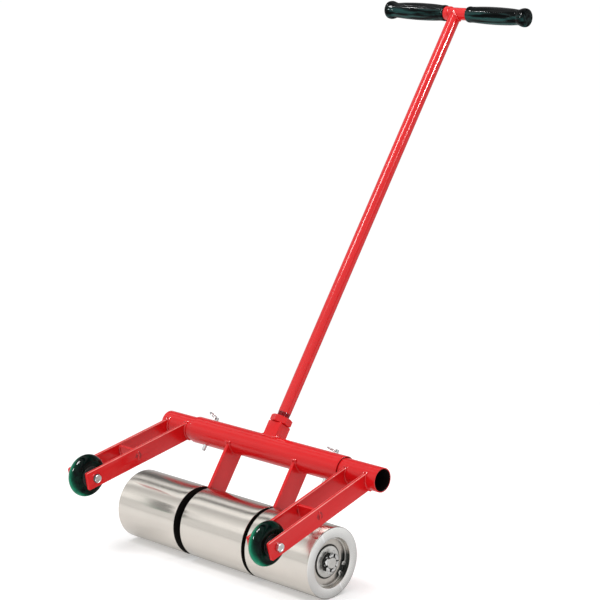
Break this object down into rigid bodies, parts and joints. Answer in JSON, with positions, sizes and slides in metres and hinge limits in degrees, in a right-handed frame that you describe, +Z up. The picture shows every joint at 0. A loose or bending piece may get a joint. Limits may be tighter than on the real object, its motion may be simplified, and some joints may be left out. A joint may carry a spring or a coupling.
{
  "type": "three section floor roller",
  "caption": "Weighted three-section steel floor roller with a leaning T-handle, welded red yoke and two outrigger transport wheels held by lock pins.",
  "frame": {"origin": "on the floor in the middle of the footprint, which is 194.81 mm behind the roller axle and 4 mm to the right of the middle of the roller", "axes": "+X along the roller axle to the right-hand side, +Y to the side the handle leans to (behind the roller), +Z up"},
  "size_m": [0.484, 0.7284, 0.8781],
  "materials": {
    "frame_paint": "gloss bright red enamel over welded steel, orange-peel surface, worn thin on the edges",
    "handle_paint": "gloss bright red enamel, long highlight down the pipe",
    "roller_steel": "turned and polished steel, lengthwise sheen with fine turning marks",
    "machined_steel": "plain machined steel",
    "zinc_plate": "bright zinc plate",
    "bearing_shield": "dark sealed bearing",
    "tyre_urethane": "translucent dark green cast polyurethane, glossy",
    "hub_plastic": "black moulded nylon",
    "grip_vinyl": "glossy near-black vinyl with moulded flutes"
  },
  "bodies": {
    "frame": {"cross_tube": "frame_paint", "left_leg": "frame_paint", "right_leg": "frame_paint", "handle_boss": "frame_paint", "jam_nut": "frame_paint", "handle_pipe": "handle_paint", "handle_crossbar": "handle_paint", "left_grip": "grip_vinyl", "right_grip": "grip_vinyl", "axle_shaft": "machined_steel", "left_axle_nut": "machined_steel", "right_axle_nut": "machined_steel", "left_cotter_pin": "zinc_plate", "right_cotter_pin": "zinc_plate", "left_axle_washer": "machined_steel", "right_axle_washer": "machined_steel", "left_outer_thrust_washer": "machined_steel", "left_inner_thrust_washer": "machined_steel", "right_inner_thrust_washer": "machined_steel", "right_outer_thrust_washer": "machined_steel", "left_inner_tube": "frame_paint", "left_inner_arm": "frame_paint", "left_outer_arm": "frame_paint", "left_arm_spacer": "frame_paint", "left_wheel_bolt": "zinc_plate", "left_wheel_nut": "zinc_plate", "left_wheel_spacer_a": "zinc_plate", "left_wheel_spacer_b": "zinc_plate", "right_inner_tube": "frame_paint", "right_inner_arm": "frame_paint", "right_outer_arm": "frame_paint", "right_arm_spacer": "frame_paint", "right_wheel_bolt": "zinc_plate", "right_wheel_nut": "zinc_plate", "right_wheel_spacer_a": "zinc_plate", "right_wheel_spacer_b": "zinc_plate"},
    "left_roller": {"left_roller_section": "roller_steel", "left_outer_bearing": "bearing_shield", "left_inner_bearing": "bearing_shield", "left_circlip": "machined_steel"},
    "centre_roller": {"centre_roller_section": "roller_steel", "centre_left_bearing": "bearing_shield", "centre_right_bearing": "bearing_shield"},
    "right_roller": {"right_roller_section": "roller_steel", "right_inner_bearing": "bearing_shield", "right_outer_bearing": "bearing_shield", "right_circlip": "machined_steel"},
    "left_wheel": {"left_tyre": "tyre_urethane", "left_hub": "hub_plastic", "left_wheel_bearing_a": "bearing_shield", "left_wheel_bearing_b": "bearing_shield"},
    "right_wheel": {"right_tyre": "tyre_urethane", "right_hub": "hub_plastic", "right_wheel_bearing_a": "bearing_shield", "right_wheel_bearing_b": "bearing_shield"},
    "left_pin": {"left_lock_pin": "zinc_plate"},
    "left_ring": {"left_pin_ring": "zinc_plate"},
    "right_pin": {"right_lock_pin": "zinc_plate"},
    "right_ring": {"right_pin_ring": "zinc_plate"}
  },
  "joints": [
    {"name": "left_roller_spin", "type": "hinge", "parent": "frame", "child": "left_roller", "pos_m": [-0.004, -0.19481, 0.05715], "axis": [1, 0, 0], "continuous": true},
    {"name": "centre_roller_spin", "type": "hinge", "parent": "frame", "child": "centre_roller", "pos_m": [-0.004, -0.19481, 0.05715], "axis": [1, 0, 0], "continuous": true},
    {"name": "right_roller_spin", "type": "hinge", "parent": "frame", "child": "right_roller", "pos_m": [-0.004, -0.19481, 0.05715], "axis": [1, 0, 0], "continuous": true},
    {"name": "left_wheel_spin", "type": "hinge", "parent": "frame", "child": "left_wheel", "pos_m": [-0.2078, -0.32917, 0.13769], "axis": [1, 0, 0], "continuous": true},
    {"name": "right_wheel_spin", "type": "hinge", "parent": "frame", "child": "right_wheel", "pos_m": [0.1998, -0.32452, 0.11792], "axis": [1, 0, 0], "continuous": true},
    {"name": "left_pin_pull", "type": "slide", "parent": "frame", "child": "left_pin", "axis": [0, 0.5592, 0.829], "range_m": [0, 0.07]},
    {"name": "right_pin_pull", "type": "slide", "parent": "frame", "child": "right_pin", "axis": [0, 0.5592, 0.829], "range_m": [0, 0.07]},
    {"name": "left_ring_swing", "type": "hinge", "parent": "left_pin", "child": "left_ring", "pos_m": [-0.141, -0.09913, 0.199], "axis": [0, 0.829, -0.5592], "range_deg": [-30, 150]},
    {"name": "right_ring_swing", "type": "hinge", "parent": "right_pin", "child": "right_ring", "pos_m": [0.133, -0.09913, 0.199], "axis": [0, 0.829, -0.5592], "range_deg": [-9, 171]}
  ]
}
